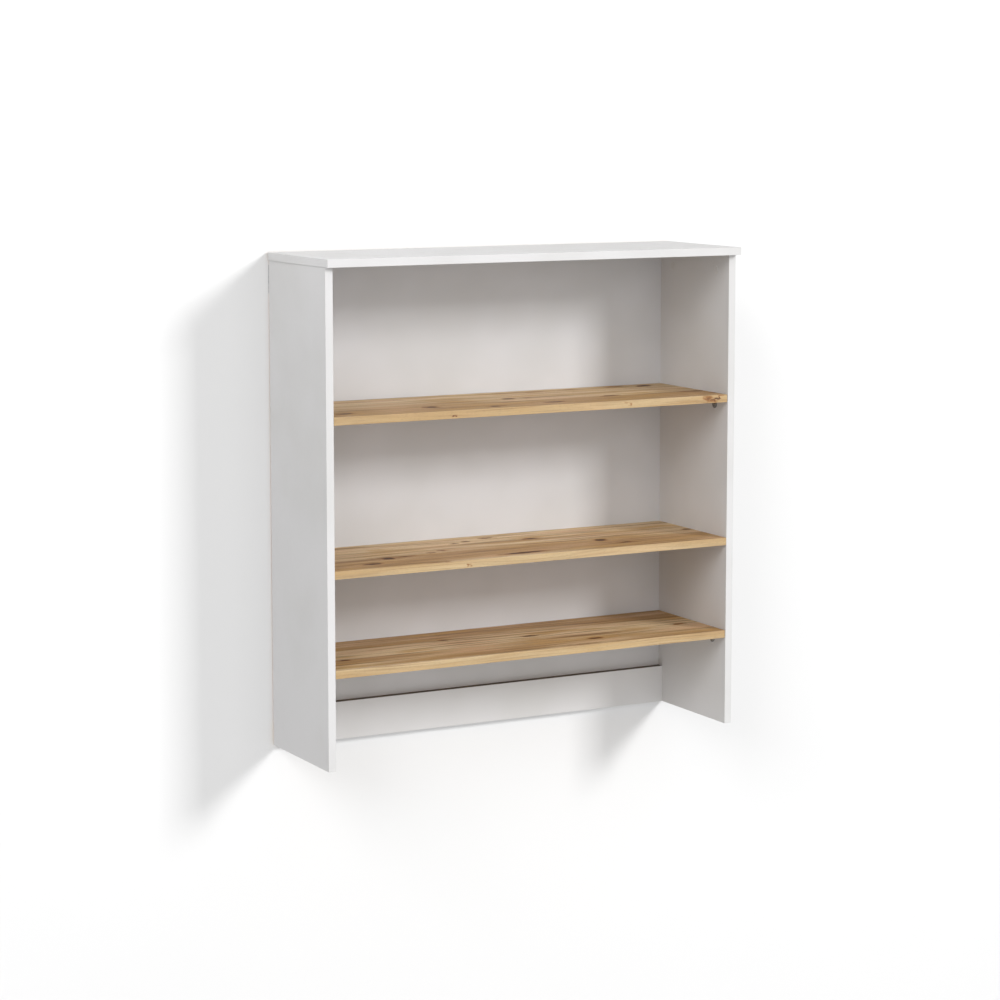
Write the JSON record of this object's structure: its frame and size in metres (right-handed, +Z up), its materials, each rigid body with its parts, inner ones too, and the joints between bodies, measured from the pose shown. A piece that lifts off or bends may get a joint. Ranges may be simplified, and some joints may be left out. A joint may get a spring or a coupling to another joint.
{
  "type": "wall-hung bathroom storage rack",
  "caption": "Open wall rack with white sides, overlapping top, back panel and rear rail, and oak-finish shelves on cams and supports.",
  "frame": {"origin": "on the wall plane, midway between the round holes of the two keyhole hanger plates", "axes": "+X to the right seen from the front, +Y towards the wall, +Z up"},
  "size_m": [0.935, 0.2885, 1],
  "materials": {
    "white_board": "chipboard faced with white melamine, satin matt",
    "oak_board": "chipboard faced with oak-decor melamine, grain along X, matt",
    "back_board": "thin hardboard, lacquered white in front, brown behind",
    "white_band": "white plastic edge band, satin",
    "oak_band": "oak-decor plastic edge band, satin",
    "nickel": "nickel-plated pressed steel",
    "zinc": "die-cast zinc",
    "bolt_steel": "zinc-plated steel",
    "beech": "beech",
    "white_cap": "moulded, satin",
    "brown_cap": "moulded, satin",
    "nail_steel": "bright steel",
    "hanger_steel": "zinc-plated steel"
  },
  "bodies": {
    "cabinet": {"top_panel": "white_board", "side_panel_left": "white_board", "side_panel_right": "white_board", "rear_rail": "white_board", "shelf_middle": "oak_board", "back_panel": "back_board", "top_band_front": "white_band", "top_band_left": "white_band", "top_band_right": "white_band", "side_band_front_left": "white_band", "side_band_front_right": "white_band", "side_band_bottom_left": "white_band", "side_band_bottom_right": "white_band", "rail_band_bottom": "white_band", "shelf_band_middle": "oak_band", "supports_upper": "nickel", "supports_lower": "nickel", "top_cams": "zinc", "shelf_cams": "zinc", "rail_cams": "zinc", "top_cam_bolts": "bolt_steel", "shelf_cam_bolts": "bolt_steel", "rail_cam_bolts": "bolt_steel", "top_dowels": "beech", "shelf_dowels": "beech", "rail_dowels": "beech", "top_cam_caps": "white_cap", "shelf_cam_caps": "brown_cap", "back_nails": "nail_steel", "hanger_plate_left": "hanger_steel", "hanger_plate_right": "hanger_steel", "hanger_screws": "hanger_steel"},
    "upper_shelf": {"shelf_upper": "oak_board", "shelf_band_upper": "oak_band"},
    "lower_shelf": {"shelf_lower": "oak_board", "shelf_band_lower": "oak_band"}
  },
  "joints": [
    {"name": "upper_shelf_slide", "type": "slide", "parent": "cabinet", "child": "upper_shelf", "axis": [0, -1, 0], "range_m": [0, 0.27]},
    {"name": "lower_shelf_slide", "type": "slide", "parent": "cabinet", "child": "lower_shelf", "axis": [0, -1, 0], "range_m": [0, 0.27]}
  ]
}
